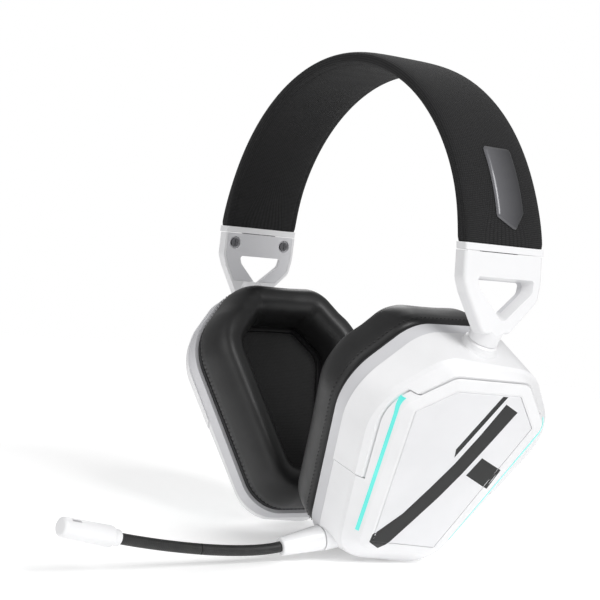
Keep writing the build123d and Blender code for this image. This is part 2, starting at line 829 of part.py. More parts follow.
def make_yoke():
    """White yoke: V-shaped plate with its window, and the neck that holds the swivel pin."""
    frame = yoke_frame()
    plate = extrude(yoke_plan(), -band_thickness)
    outer_edges = plate.faces().sort_by(Axis.Z)[-1].edges()
    outer_edges = [edge for edge in outer_edges if edge.center().Y < -1.0]
    plate = fillet(outer_edges, 1.6)
    recess_floor = yoke_cover_wall + part_gap - band_thickness
    recess = Pos(0, 0, recess_floor) * extrude(yoke_plan(1.2), -4 * band_thickness)
    recess = recess & above_neck(0)
    plate = plate - window_solid(band_thickness + 0.01, -0.01)
    for y in (-screw_spread / 2, screw_spread / 2):
        plate = plate - Pos(y, -screw_drop, -3.2) * Cylinder(screw_radius * 0.8, 6)
    yoke = frame * plate
    neck = neck_solid(neck_radius, dome_radius - 3, stem_length + 2.4)
    outside = frame * Box(200, 200, 200, align=(Align.CENTER, Align.CENTER, Align.MIN))
    window = frame * window_solid(band_thickness + 6, -0.01)
    pivot = cup_frame()[1] + Vector(0, 0, crown)
    dome = Pos(*pivot) * Sphere(dome_radius + moving_gap)
    yoke = yoke + (neck - outside - window) - frame * recess
    yoke = yoke - dome - neck_solid(stem_radius + running_gap, 0, stem_length + 0.3)
    return under_collar(yoke - blade_solid(part_gap / 2, 20, blade_down))


def make_yoke_cover():
    """Screwed cover on the yoke's inner face."""
    cover = extrude(yoke_plan(1.2 + part_gap), yoke_cover_wall)
    cover = cover & above_neck(part_gap)
    cover = Pos(0, 0, -band_thickness) * cover
    cover = cover - window_solid(band_thickness + 0.01, -0.01)
    for y in (-screw_spread / 2, screw_spread / 2):
        cover = cover - Pos(y, -screw_drop, -band_thickness) * Cylinder(2.9, 2.0)
        cover = cover - Pos(y, -screw_drop, -band_thickness) * Cylinder(screw_radius + part_gap, 6)
    return under_collar(yoke_frame() * cover)


def make_yoke_screws():
    """The cover's two screws."""
    solids = []
    flip = Rot(0, 180, 0)
    for y in (-screw_spread / 2, screw_spread / 2):
        place = Pos(y, -screw_drop, -band_thickness + 0.95)
        solids.append(yoke_frame() * place * flip * screw(screw_radius * 0.75, 3.6))
    return Compound(children=solids)


def left_pieces():
    """Every piece of the left side, by name, in the headset's frame."""
    pieces = {
        "slider_blade": lower(blade_solid(0, blade_up, blade_down - 0.2)),
        "yoke": lower(make_yoke()),
        "yoke_cover": lower(make_yoke_cover()),
        "yoke_screws": lower(make_yoke_screws()),
    }
    basket, magnet, diaphragm = make_driver()
    pin, cross = make_pivot()
    front_light, rear_light = make_lights()
    cup = {
        "hood": make_hood(),
        "face_plate": make_face_plate(),
        "light_front": front_light,
        "light_rear": rear_light,
        "cup_screws": make_cup_screws(),
        "cushion_plate": make_cushion_plate(),
        "cushion": make_cushion(),
        "grille_cloth": make_grille(),
        "driver_basket": basket,
        "driver_magnet": magnet,
        "diaphragm": diaphragm,
        "swivel_pin": pin,
        "cross_pin": cross,
    }
    for name, shape in cup.items():
        pieces[name] = place_cup(shape)
    return pieces


def left_only():
    """The pieces that only the left cup has."""
    base, plug = make_mic_base()
    capsule, element = make_capsule()
    pieces = {
        "left_shell": make_core("left"),
        "left_frame_ring": make_baffle("left"),
        "main_board": make_board(),
        "power_button": make_button(power_level),
        "mute_button": make_button(mute_level),
        "button_switches": make_switches(),
        "volume_wheel": make_wheel(),
        "charging_port": make_port(),
        "audio_jack": make_jack(),
        "mic_socket": make_mic_socket(),
        "mic_base": base,
        "mic_plug": plug,
        "gooseneck_root": gooseneck_stretch(1, stretch_relief, False, True),
        "gooseneck_middle": gooseneck_stretch(2, 0, True, True),
        "gooseneck_tip": gooseneck_stretch(3, 0, True, False),
        "mic_capsule": capsule,
        "mic_element": element,
    }
    return {name: place_cup(shape) for name, shape in pieces.items()}


def both_ends(shape):
    """A piece of the left end of the band with its mirror image, as two solids."""
    return Compound(children=[shape, mirror(shape, Plane.YZ)])


def save(name, shape):
    """Writes one piece."""
    shape.label = name
    export_step(shape, f"parts/{name}.step")


def main():
    os.makedirs("parts", exist_ok=True)
    save("headband_cover", lower(make_cover()))
    save("headband_arch", lower(make_arch()))
    save("headband_pad", lower(make_pad()))
    save("badge_plate", lower(make_badge()))
    save("slider_guides", both_ends(lower(make_guide())))
    save("end_collars", both_ends(lower(make_collar())))
    for name, shape in left_pieces().items():
        save("left_" + name, shape)
        save("right_" + name, mirror(shape, Plane.YZ))
    for name, shape in left_only().items():
        save(name, shape)
    save("right_shell", mirror(place_cup(make_core("right")), Plane.YZ))
    save("right_frame_ring", mirror(place_cup(make_baffle("right")), Plane.YZ))
    save("battery", mirror(place_cup(make_battery()), Plane.YZ))
    plane, pivot, outward, rearward, upward = cup_frame()
    print("cup origin", plane.origin, "pivot", pivot)
    print("outward", outward, "rearward", rearward, "upward", upward)


main()
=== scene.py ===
# %% [markdown]
# # A wireless gaming headset
#
# A sprung headband in a knitted sleeve carries two white yokes, and each yoke holds a canted ear cup on a
# ball-headed pin. The cups are six-sided, with a black cushion, a white hood and shell, a flat face plate
# with dark printed stripes, and two glowing light guides. A flexible microphone plugs into the left cup.
#
# The mechanical frame comes first. Its pieces already have true shapes and places, so this lesson gives
# them finishes and replaces the soft and bendy pieces with better surfaces.

# %% The frame
import json
import math
import bpy
import numpy as np
from mathutils import Matrix, Vector


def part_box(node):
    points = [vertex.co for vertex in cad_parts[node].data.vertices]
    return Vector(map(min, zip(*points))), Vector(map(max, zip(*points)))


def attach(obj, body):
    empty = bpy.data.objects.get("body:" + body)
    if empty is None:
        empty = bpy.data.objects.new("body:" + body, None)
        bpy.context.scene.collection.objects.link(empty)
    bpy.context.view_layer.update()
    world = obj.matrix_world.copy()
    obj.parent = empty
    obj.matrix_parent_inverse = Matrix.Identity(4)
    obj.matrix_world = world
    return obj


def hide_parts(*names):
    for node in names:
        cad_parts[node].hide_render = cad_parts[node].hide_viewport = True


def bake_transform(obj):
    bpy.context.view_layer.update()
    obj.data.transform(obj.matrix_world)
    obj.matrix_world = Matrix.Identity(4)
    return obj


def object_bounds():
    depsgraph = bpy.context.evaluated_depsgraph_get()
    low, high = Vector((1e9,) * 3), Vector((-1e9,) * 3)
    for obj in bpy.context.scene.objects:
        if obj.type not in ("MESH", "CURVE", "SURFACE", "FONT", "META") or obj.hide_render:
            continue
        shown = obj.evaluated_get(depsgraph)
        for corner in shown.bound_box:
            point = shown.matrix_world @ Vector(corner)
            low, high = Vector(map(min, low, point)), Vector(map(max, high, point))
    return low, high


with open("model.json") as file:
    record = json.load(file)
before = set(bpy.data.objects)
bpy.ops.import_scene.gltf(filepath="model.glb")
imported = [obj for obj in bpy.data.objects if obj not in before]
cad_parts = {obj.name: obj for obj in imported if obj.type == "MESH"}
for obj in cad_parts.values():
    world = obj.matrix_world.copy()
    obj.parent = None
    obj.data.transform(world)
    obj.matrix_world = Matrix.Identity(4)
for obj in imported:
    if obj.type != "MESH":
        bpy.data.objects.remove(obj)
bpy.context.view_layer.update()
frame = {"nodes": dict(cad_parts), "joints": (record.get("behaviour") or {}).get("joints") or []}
joints = {joint["name"]: joint for joint in frame["joints"]}

# %% [markdown]
# ## Camera
#
# A long lens from the front left, almost level with the cups and rolled a little. A camera is placed by an
# eye point and three axes: right, up, and the way it looks. Turning by one angle, dropping by a second and
# rolling by a third is easier to read than a matrix of nine numbers.

# %% Camera
EYE = Vector((0.4798, -0.3492, -0.0793))
TURN_ANGLE = math.radians(56.36)
DROP_ANGLE = math.radians(1.91)
ROLL_ANGLE = math.radians(5.26)
LENS = 84.0

looking = Vector((
    -math.sin(TURN_ANGLE) * math.cos(DROP_ANGLE),
    math.cos(TURN_ANGLE) * math.cos(DROP_ANGLE),
    -math.sin(DROP_ANGLE),
))
level_right = Vector((math.cos(TURN_ANGLE), math.sin(TURN_ANGLE), 0))
level_up = level_right.cross(looking)
right = math.cos(ROLL_ANGLE) * level_right + math.sin(ROLL_ANGLE) * level_up
up = right.cross(looking)

camera_data = bpy.data.cameras.new("camera")
camera_data.lens = LENS
camera_data.sensor_width = 36
camera_data.clip_start = 0.01
camera = bpy.data.objects.new("camera", camera_data)
camera.matrix_world = Matrix((
    (right.x, up.x, -looking.x, EYE.x),
    (right.y, up.y, -looking.y, EYE.y),
    (right.z, up.z, -looking.z, EYE.z),
    (0, 0, 0, 1),
))
bpy.context.scene.collection.objects.link(camera)
bpy.context.scene.camera = camera
print("camera right", [round(x, 4) for x in right], "up", [round(x, 4) for x in up])

# %% [markdown]
# ## Small helpers for finishes
#
# Every finish is a Principled shader with its steady values set on its own sockets, and a few noise nodes
# that read Object coordinates for grain and wear. Bump gives what is too fine to model.

# %% Helpers for finishes
def start_finish(name, color, roughness, metallic=0.0, **steady):
    """A new material, its shader, and its Object and UV coordinates."""
    material = bpy.data.materials.new(name)
    material.use_nodes = True
    shader = material.node_tree.nodes["Principled BSDF"]
    shader.inputs["Base Color"].default_value = (*color, 1)
    shader.inputs["Roughness"].default_value = roughness
    shader.inputs["Metallic"].default_value = metallic
    for socket, value in steady.items():
        shader.inputs[socket.replace("_", " ")].default_value = value
    place = material.node_tree.nodes.new("ShaderNodeTexCoord")
    return material, shader, place


def add(material, kind, **values):
    """A new node with its values set, by property name or by input name."""
    node = material.node_tree.nodes.new(kind)
    for name, value in values.items():
        if name in node.bl_rna.properties:
            setattr(node, name, value)
        else:
            node.inputs[name.replace("_", " ")].default_value = value
    return node


def wire(material, source, target):
    """A link between two sockets."""
    material.node_tree.links.new(source, target)


def ramp(material, source, *stops):
    """A colour ramp over a value, from (position, colour) stops."""
    node = material.node_tree.nodes.new("ShaderNodeValToRGB")
    elements = node.color_ramp.elements
    while len(elements) < len(stops):
        elements.new(0.5)
    for element, (position, color) in zip(elements, stops):
        element.position = position
        element.color = (*color, 1)
    wire(material, source, node.inputs["Fac"])
    return node.outputs["Color"]


def arithmetic(material, operation, first, second=None):
    """One step of arithmetic on sockets or plain numbers."""
    node = add(material, "ShaderNodeMath", operation=operation)
    for socket, value in zip(node.inputs, (first, second)):
        if value is None:
            continue
        if isinstance(value, (int, float)):
            socket.default_value = value
        else:
            wire(material, value, socket)
    return node.outputs["Value"]


def noise(material, place, scale, detail=3.0):
    """Noise over coordinates, between 0 and 1."""
    node = add(material, "ShaderNodeTexNoise", Scale=scale, Detail=detail)
    wire(material, place, node.inputs["Vector"])
    return node.outputs["Fac"]


def bump(material, shader, height, distance, strength=1.0, under=None):
    """A bump of a height on the shader's normal, on top of another bump."""
    node = add(material, "ShaderNodeBump", Distance=distance, Strength=strength)
    wire(material, height, node.inputs["Height"])
    if under is not None:
        wire(material, under.outputs["Normal"], node.inputs["Normal"])
    wire(material, node.outputs["Normal"], shader.inputs["Normal"])
    return node


def vary_roughness(material, shader, place, low, high, scale):
    """Slow changes of roughness over the surface, as handling leaves."""
    spread = add(material, "ShaderNodeMapRange", To_Min=low, To_Max=high)
    wire(material, noise(material, place, scale), spread.inputs["Value"])
    wire(material, spread.outputs["Result"], shader.inputs["Roughness"])


def around(color, share):
    """The colour a little darker and a little lighter."""
    return tuple(c * (1 - share) for c in color), tuple(min(c * (1 + share), 1) for c in color)

# %% [markdown]
# ## Moulded plastics
#
# The casings come from spark-eroded moulds, which leave a very fine grain that breaks up the highlight, and
# the polish differs slightly from place to place. The grain is a fine noise in the bump, far below a
# millimetre, and a slower noise moves the colour and the roughness.

# %% Moulded plastics
def moulded_plastic(name, color, roughness, grain=0.00003, coat=0.0):
    """Plastic with an eroded-mould grain and slow changes of colour and polish."""
    material, shader, coordinates = start_finish(
        name, color, roughness, Coat_Weight=coat, Coat_Roughness=0.25
    )
    place = coordinates.outputs["Object"]
    dark, light = around(color, 0.025)
    cloud = noise(material, place, 35.0, 4.0)
    wire(material, ramp(material, cloud, (0.35, dark), (0.65, light)), shader.inputs["Base Color"])
    vary_roughness(material, shader, place, roughness - 0.05, roughness + 0.06, 60.0)
    bump(material, shader, noise(material, place, 2600.0, 2.0), grain, 0.4)
    return material


finishes = {
    "white_shell": moulded_plastic("white_shell", (0.80, 0.80, 0.81), 0.38, coat=0.15),
    "white_face": moulded_plastic("white_face", (0.76, 0.76, 0.775), 0.36, coat=0.2),
    "white_yoke": moulded_plastic("white_yoke", (0.80, 0.80, 0.81), 0.34, coat=0.2),
    "white_cover": moulded_plastic("white_cover", (0.66, 0.66, 0.68), 0.5),
    "mic_white": moulded_plastic("mic_white", (0.84, 0.84, 0.85), 0.32, coat=0.2),
    "grey_frame": moulded_plastic("grey_frame", (0.64, 0.64, 0.66), 0.45),
    "black_plastic": moulded_plastic("black_plastic", (0.018, 0.018, 0.019), 0.5),
    "button_grey": moulded_plastic("button_grey", (0.30, 0.31, 0.33), 0.45),
}
print("plastics", sorted(finishes))

# %% [markdown]
# ## Glowing light guides
#
# Each guide is a strip of clear plastic lit from behind in cyan. On the real guide the middle is a little
# brighter where the light source sits; here the emission follows a slow noise, with soft brighter spots.

# %% Light guides
def glowing_guide(color, strength):
    """A lit diffuser strip: emission with soft hot spots under a smooth clear skin."""
    unlit = tuple(c * 0.3 for c in color)
    material, shader, coordinates = start_finish("light_guide", unlit, 0.25, Coat_Weight=0.3)
    hot = tuple(min(c * 1.1 + 0.05, 1) for c in color)
    glow = ramp(material, noise(material, coordinates.outputs["Object"], 45.0), (0.35, color), (0.7, hot))
    wire(material, glow, shader.inputs["Emission Color"])
    shader.inputs["Emission Strength"].default_value = strength
    return material


finishes["light_guide"] = glowing_guide((0.09, 0.66, 0.60), 0.9)
print("light guides made")

# %% [markdown]
# ## Metals
#
# The blade and the arch are rolled spring steel, with faint lines along the strip. The screws and the pins
# are plated, brighter, with tiny scratches. Both are fully metallic, with the streaks in the roughness.

# %% Metals
def rolled_metal(name, color, roughness, stretch):
    """Metal with streaks: noise squeezed along one axis by a Mapping node."""
    material, shader, coordinates = start_finish(name, color, roughness, metallic=1.0)
    mapping = add(material, "ShaderNodeMapping", Scale=stretch)
    wire(material, coordinates.outputs["Object"], mapping.inputs["Vector"])
    place = mapping.outputs["Vector"]
    vary_roughness(material, shader, place, roughness - 0.1, roughness + 0.12, 900.0)
    dark, light = around(color, 0.06)
    wire(material, ramp(material, noise(material, place, 500.0), (0.3, dark), (0.7, light)),
         shader.inputs["Base Color"])
    bump(material, shader, noise(material, place, 1500.0), 0.00002, 0.3)
    return material


finishes["dark_steel"] = rolled_metal("dark_steel", (0.16, 0.16, 0.17), 0.35, (1, 1, 0.05))
finishes["plated_steel"] = rolled_metal("plated_steel", (0.72, 0.72, 0.74), 0.25, (1, 1, 1))
print("metals made")

# %% [markdown]
# ## Inner materials
#
# Board, battery wrap, diaphragm film and foam are hardly seen, but an opened part shows them, so each has
# its own look: a green board with fine cells, a shrink wrap with fine wrinkles, a thin smoky film,
# and an open-cell foam.

# %% Inner materials
def inner_finish(name, color, roughness, cells, depth, **steady):
    """A finish whose colour and bump follow cells of a given size, in metres; each cell's hollow is darker,
    as painted shade.
    """
    material, shader, coordinates = start_finish(name, color, roughness, **steady)
    place = coordinates.outputs["Object"]
    pores = add(material, "ShaderNodeTexVoronoi", Scale=1 / cells)
    wire(material, place, pores.inputs["Vector"])
    # Painted shade: the colour is darkest where the bump is lowest, in each cell's hollow.
    dark, light = around(color, 0.3)
    wire(material, ramp(material, pores.outputs["Distance"], (0.1, dark), (0.7, light)),
         shader.inputs["Base Color"])
    bump(material, shader, pores.outputs["Distance"], depth)
    return material


finishes["circuit_board"] = inner_finish("circuit_board", (0.01, 0.14, 0.05), 0.4, 0.0012, 0.00005)
finishes["battery_wrap"] = inner_finish("battery_wrap", (0.30, 0.31, 0.34), 0.3, 0.004, 0.00006)
finishes["diaphragm_film"] = inner_finish("diaphragm_film", (0.20, 0.20, 0.22), 0.2, 0.002, 0.00004)
finishes["foam"] = inner_finish("foam", (0.03, 0.03, 0.03), 0.9, 0.0007, 0.0002)
print("inner finishes made")

# %% [markdown]
# ## Knitted fabric
#
# The sleeve is a fine black jersey. Knit shows columns of small V-shaped stitches, so the height is worked
# out from the cloth's own UV map, in millimetres along and across the band: each column is a rounded rib,
# and the loops in it lean left and right in turn. A sheen gives the soft light edge that fibres have.

# %% Knitted fabric
STITCH_WIDTH = 0.9
STITCH_HEIGHT = 0.7


def knit_height(material, coordinates):
    """Ribs across the cloth times V-shaped loops along it, between 0 and 1.

    The loop's phase is moved by how far a point is from the middle of its rib, which bends each loop
    into a V: height = |sin(across)| * (0.55 + 0.45 * sin(along + 2 * |sin(across)|)).
    """
    split = add(material, "ShaderNodeSeparateXYZ")
    wire(material, coordinates.outputs["UV"], split.inputs["Vector"])
    across = arithmetic(material, "MULTIPLY", split.outputs["Y"], math.pi / STITCH_WIDTH)
    rib = arithmetic(material, "ABSOLUTE", arithmetic(material, "SINE", across))
    along = arithmetic(material, "MULTIPLY", split.outputs["X"], 2 * math.pi / STITCH_HEIGHT)
    phase = arithmetic(material, "ADD", along, arithmetic(material, "MULTIPLY", rib, 2.0))
    loop = arithmetic(material, "SINE", phase)
    loop = arithmetic(material, "ADD", arithmetic(material, "MULTIPLY", loop, 0.45), 0.55)
    return arithmetic(material, "MULTIPLY", rib, loop)


def knitted_fabric(name, color, sheen):
    """Black jersey: painted shade in the valleys and a painted highlight on the loops, with worn lint, and
    fibre sheen.
    """
    material, shader, coordinates = start_finish(
        name, color, 0.85, Sheen_Weight=sheen, Sheen_Roughness=0.4, Specular_IOR_Level=0.25
    )
    height = knit_height(material, coordinates)
    place = coordinates.outputs["Object"]
    fuzz = noise(material, place, 700.0)
    mixed = arithmetic(material, "ADD", height, arithmetic(material, "MULTIPLY", fuzz, 0.5))
    # Painted shade and highlight: the stitch height darkens the valleys and lightens the loop tops; the fuzz
    # noise adds lint tone.
    painted_valley_shade = tuple(c * 0.45 for c in color)
    painted_loop_highlight = tuple(c * 1.7 for c in color)
    wire(material, ramp(material, mixed, (0.15, painted_valley_shade), (1.2, painted_loop_highlight)), shader.inputs["Base Color"])
    bump(material, shader, height, 0.00025, 0.8)
    return material


finishes["knit_fabric"] = knitted_fabric("knit_fabric", (0.013, 0.013, 0.0135), 0.06)
print("knit", STITCH_WIDTH, "x", STITCH_HEIGHT, "mm")

# %% [markdown]
# ## Leather, cloth, rubber and print
#
# The cushions wear a soft artificial leather: small flat cells with fine creases between them, and larger
# soft dents under those. The grille cloth is a plain weave of thin threads. The microphone's arm is rubber
# with a fine ribbed skin, and the stripes on the faces are printed in matt black ink.

# %% Leather, cloth, rubber and print
def soft_leather(name, color):
    """Leather: Voronoi cells for the grain, slow dents with painted shade in them, and a slightly worn sheen.
    """
    material, shader, coordinates = start_finish(
        name, color, 0.42, Coat_Weight=0.08, Coat_Roughness=0.35, Specular_IOR_Level=0.45
    )
    place = coordinates.outputs["Object"]
    grain = add(material, "ShaderNodeTexVoronoi", Scale=1300.0, feature="DISTANCE_TO_EDGE")
    wire(material, place, grain.inputs["Vector"])
    dents = noise(material, place, 120.0, 2.0)
    under = bump(material, shader, dents, 0.0006, 0.25)
    bump(material, shader, grain.outputs["Distance"], 0.00006, 0.5, under)
    # Painted shade: the colour follows the dent bump, darker in the dents and lighter on the swells.
    dark, light = around(color, 0.2)
    wire(material, ramp(material, dents, (0.3, dark), (0.7, light)), shader.inputs["Base Color"])
    vary_roughness(material, shader, place, 0.36, 0.52, 90.0)
    return material


def woven_cloth(name, color, pitch):
    """Plain weave on the cloth's UV map, in millimetres: two crossed sets of round threads, with painted
    shade in the gaps between them.
    """
    material, shader, coordinates = start_finish(name, color, 0.8, Sheen_Weight=0.2, Sheen_Roughness=0.5)
    split = add(material, "ShaderNodeSeparateXYZ")
    wire(material, coordinates.outputs["UV"], split.inputs["Vector"])
    threads = []
    for axis in ("X", "Y"):
        wave = arithmetic(material, "MULTIPLY", split.outputs[axis], math.pi / pitch)
        threads.append(arithmetic(material, "ABSOLUTE", arithmetic(material, "SINE", wave)))
    height = arithmetic(material, "MULTIPLY", threads[0], threads[1])
    # Painted shade: the gaps between the threads are darkened to a fifth of the thread colour.
    painted_gap_shade = tuple(c * 0.2 for c in color)
    wire(material, ramp(material, height, (0.05, painted_gap_shade), (0.5, color)), shader.inputs["Base Color"])
    bump(material, shader, height, 0.00015, 0.8)
    return material


def ribbed_rubber(name, color, pitch):
    """Rubber with fine rings along its UV length, in millimetres, and a dusty bloom."""
    material, shader, coordinates = start_finish(name, color, 0.5)
    split = add(material, "ShaderNodeSeparateXYZ")
    wire(material, coordinates.outputs["UV"], split.inputs["Vector"])
    turns = arithmetic(material, "MULTIPLY", split.outputs["X"], 2 * math.pi / pitch)
    wave = arithmetic(material, "SINE", turns)
    bump(material, shader, wave, 0.00006, 0.35)
    place = coordinates.outputs["Object"]
    dark, light = around(color, 0.3)
    wire(material, ramp(material, noise(material, place, 300.0), (0.4, dark), (0.7, light)),
         shader.inputs["Base Color"])
    vary_roughness(material, shader, place, 0.42, 0.6, 150.0)
    return material


finishes["cushion_leather"] = soft_leather("cushion_leather", (0.011, 0.011, 0.0115))
finishes["grille_cloth"] = woven_cloth("grille_cloth", (0.016, 0.016, 0.0165), 0.7)
finishes["gooseneck_rubber"] = ribbed_rubber("gooseneck_rubber", (0.014, 0.014, 0.014), 0.8)
printed_ink = moulded_plastic("printed_ink", (0.008, 0.008, 0.008), 0.55)
print("soft finishes made")

# %% [markdown]
# ## Satin badge
#
# The badge is a dark plate with a satin film on its face. Its colour goes from charcoal at the front edge to
# near black at the rear, a painted reflection, so the colour follows one Object coordinate.

# %% Satin badge
def badge_with_painted_reflection(name, front, rear, start, end):
    """A satin film whose colour runs between two tones along Y, lighter at the front as a painted reflection.
    """
    material, shader, coordinates = start_finish(name, front, 0.3, metallic=0.25, Coat_Weight=0.3)
    split = add(material, "ShaderNodeSeparateXYZ")
    wire(material, coordinates.outputs["Object"], split.inputs["Vector"])
    share = add(material, "ShaderNodeMapRange", From_Min=start, From_Max=end)
    wire(material, split.outputs["Y"], share.inputs["Value"])
    # Painted reflection: the front of the badge is lighter, the rear near black.
    painted_reflection = ramp(material, share.outputs["Result"], (0.0, front), (1.0, rear))
    wire(material, painted_reflection, shader.inputs["Base Color"])
    vary_roughness(material, shader, coordinates.outputs["Object"], 0.26, 0.38, 300.0)
    return material


badge_low, badge_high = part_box("badge_plate")
CHARCOAL = (0.13, 0.13, 0.14)
NEAR_BLACK = (0.025, 0.025, 0.028)
finishes["badge_grey"] = badge_with_painted_reflection("badge_grey", CHARCOAL, NEAR_BLACK, badge_low.y, badge_high.y)
print("badge", round(1000 * (badge_high.z - badge_low.z), 1), "mm long")

# %% [markdown]
# ## Finishes on the frame's pieces
#
# Each frame piece arrives with a plain material that carries its slot's name. The finish of the same name
# goes into its place, and the mesh itself stays as it is.

# %% Dressing the frame
def base_name(name):
    """A material's name without Blender's number."""
    return name.split(".")[0]


dressed = 0
for name, node in frame["nodes"].items():
    for place in node.material_slots:
        place.material = finishes[base_name(place.material.name)]
        dressed += 1
print("dressed", dressed, "of", len(frame["nodes"]))

# %% [markdown]
# ## Surfaces from grids
#
# Every new piece below is a grid of points worked out at once with numpy. This helper turns such a grid into
# a mesh: neighbours make four-sided faces, a direction may close on itself, and an end row may be one point.
# The UV map holds real millimetres, so that a weave has the same scale on every piece.

# %% Grid surfaces
def wind(row_steps, col_steps, rows, cols):
    """Corner numbers of every face of a grid, four to a row."""
    r, c = np.meshgrid(np.arange(row_steps), np.arange(col_steps), indexing="ij")
    r_next = (r + 1) % rows
    c_next = (c + 1) % cols
    quads = np.stack((r * cols + c, r_next * cols + c, r_next * cols + c_next, r * cols + c_next), axis=-1)
    return quads.reshape(-1, 4), r.ravel(), c.ravel()


def signed_volume(points, quads):
    """Six times the volume inside the faces, negative when they point inwards."""
    a, b, c, d = (points[quads[:, i]] for i in range(4))
    return float((np.cross(a, b) * c).sum() + (np.cross(a, c) * d).sum())


def grid_piece(name, points, finish, close_rows=False, close_cols=True, inside_out=None):
    """A piece from points[row, column]; a row whose points coincide becomes a pole."""
    rows, cols = points.shape[:2]
    quads, r, c = wind(rows if close_rows else rows - 1, cols if close_cols else cols - 1, rows, cols)
    flat = points.reshape(-1, 3)
    if inside_out is None:
        inside_out = signed_volume(flat, quads) < 0
    along = np.concatenate(([0], np.cumsum(np.linalg.norm(np.diff(points[:, 0], axis=0), axis=1))))
    around_ring = np.concatenate((points, points[:, :1]), axis=1)[rows // 2]
    across = np.concatenate(([0], np.cumsum(np.linalg.norm(np.diff(around_ring, axis=0), axis=1))))
    along = np.append(along, along[-1] + np.linalg.norm(points[-1, 0] - points[0, 0]))
    u = along[np.stack((r, r + 1, r + 1, r), axis=-1)]
    v = across[np.stack((c, c, c + 1, c + 1), axis=-1)]
    uv = 1000 * np.stack((u, v), axis=-1)
    if inside_out:
        quads = quads[:, ::-1]
        uv = uv[:, ::-1]
    mesh = bpy.data.meshes.new(name)
    mesh.from_pydata(flat, [], quads)
    mesh.uv_layers.new(name="UVMap").data.foreach_set("uv", uv.ravel())
    mesh.polygons.foreach_set("use_smooth", np.ones(len(quads), bool))
    mesh.validate()
    mesh.materials.append(finish)
    piece = bpy.data.objects.new(name, mesh)
    bpy.context.scene.collection.objects.link(piece)
    print(name, len(mesh.vertices), "points", len(mesh.polygons), "faces")
    return piece


def merge_poles(piece, distance=1e-6):
    """Joins the points of a pole or a seam, and drops the faces that have no area."""
    modifier = piece.modifiers.new("merge", "WELD")
    modifier.merge_threshold = distance
    apply_modifiers(piece)


def apply_modifiers(piece):
    """Makes the modified mesh the piece's own."""
    bpy.context.view_layer.update()
    graph = bpy.context.evaluated_depsgraph_get()
    made = bpy.data.meshes.new_from_object(piece.evaluated_get(graph))
    piece.modifiers.clear()
    piece.data = made


def thicken(piece, thickness, side=-1.0):
    """Gives a surface a wall: side -1 is inwards, +1 outwards."""
    wall = piece.modifiers.new("wall", "SOLIDIFY")
    wall.thickness = thickness
    wall.offset = side
    apply_modifiers(piece)

# %% [markdown]
# ## The knitted sleeve
#
# On the real band, a tube of jersey is pulled over the steel arch and its foam, so the section is a flat oval
# with soft edges, a little fuller under the crown where it rests on the head. The surface is that section
# carried along half an ellipse. A superellipse, |w|^4 + |h|^4 = 1, gives the flat middle and the round edge
# in one formula, and small ripples under the crown are the creases of bent cloth.

# %% The knitted sleeve
MM = 0.001
BAND_HALF_WIDTH = 89.7 * MM
BAND_RISE = 87.4 * MM
BAND_THICKNESS = 6.0 * MM
BAND_WIDTH = 38.0 * MM
BAND_LEVEL = -81.4 * MM
SLEEVE_START = 11.8 * MM
SLEEVE_WALL = 0.8 * MM
CROWN_SPREAD = 0.22
CROWN_FULLNESS = 0.35
CREASE_HEIGHT = 0.00012
SEAM_PLACE = 0.86
SEAM_WIDTH = 0.022
SEAM_DEPTH = 0.10


def band_point(share, depth, back):
    """A point of the band: share 0 to 1 from left end to right, depth under the outside, back along Y."""
    rise = BAND_RISE - depth
    first = np.arcsin(SLEEVE_START / rise)
    angle = first + share * (math.pi - 2 * first)
    x = (BAND_HALF_WIDTH - depth) * np.cos(angle)
    z = BAND_LEVEL + rise * np.sin(angle)
    return np.stack(np.broadcast_arrays(x, back, z), axis=-1)


def knitted_sleeve():
    """Section in turn t: w = sign(cos t) sqrt|cos t| and h = sign(sin t) sqrt|sin t|.

    Both are shares, w of the band's half width and h of its half thickness.
    """
    share = np.linspace(0, 1, 321)[:, None]
    turn = np.linspace(0, 2 * math.pi, 88, endpoint=False)[None, :]
    w = np.sign(np.cos(turn)) * np.sqrt(np.abs(np.cos(turn)))
    h = np.sign(np.sin(turn)) * np.sqrt(np.abs(np.sin(turn)))
    middle = 1 - w**2
    crown = np.exp(-(((share - 0.5) / CROWN_SPREAD) ** 2))
    fuller = 1 + CROWN_FULLNESS * crown * middle * (h < 0)
    creases = np.sin(95 * share + 2.0 * w) * np.sin(31 * share + 1.3 + w) * crown * middle * (h < 0)
    ends = np.exp(-((np.minimum(share, 1 - share) * 14) ** 2))
    squarer = 1 - 0.6 * ends
    w = np.sign(w) * np.abs(w) ** squarer
    h = np.sign(h) * np.abs(h) ** squarer
    tucked = 1 - 0.02 * np.exp(-((np.minimum(share, 1 - share) * 240) ** 2))
    seam = 1 - SEAM_DEPTH * np.exp(-(((np.abs(w) - SEAM_PLACE) / SEAM_WIDTH) ** 2)) * (h < 0)
    half = BAND_THICKNESS / 2
    depth = half - half * h * fuller * seam * tucked + CREASE_HEIGHT * creases
    back = BAND_WIDTH / 2 * w * tucked + 0 * share
    return band_point(share, depth, back)


sleeve = grid_piece("knitted_sleeve", knitted_sleeve(), finishes["knit_fabric"])
thicken(sleeve, SLEEVE_WALL)
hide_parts("headband_cover")
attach(sleeve, "headband")

# %% [markdown]
# ## Rounded rings
#
# The cushions, the grille cloth and the badge all start from a polygon with rounded corners. One function
# makes such a ring at any inset, always with the same number of points, so that rings at different insets
# can be joined point to point into a surface.

# %% Rounded rings
ARC_POINTS = 20
SIDE_POINTS = 20


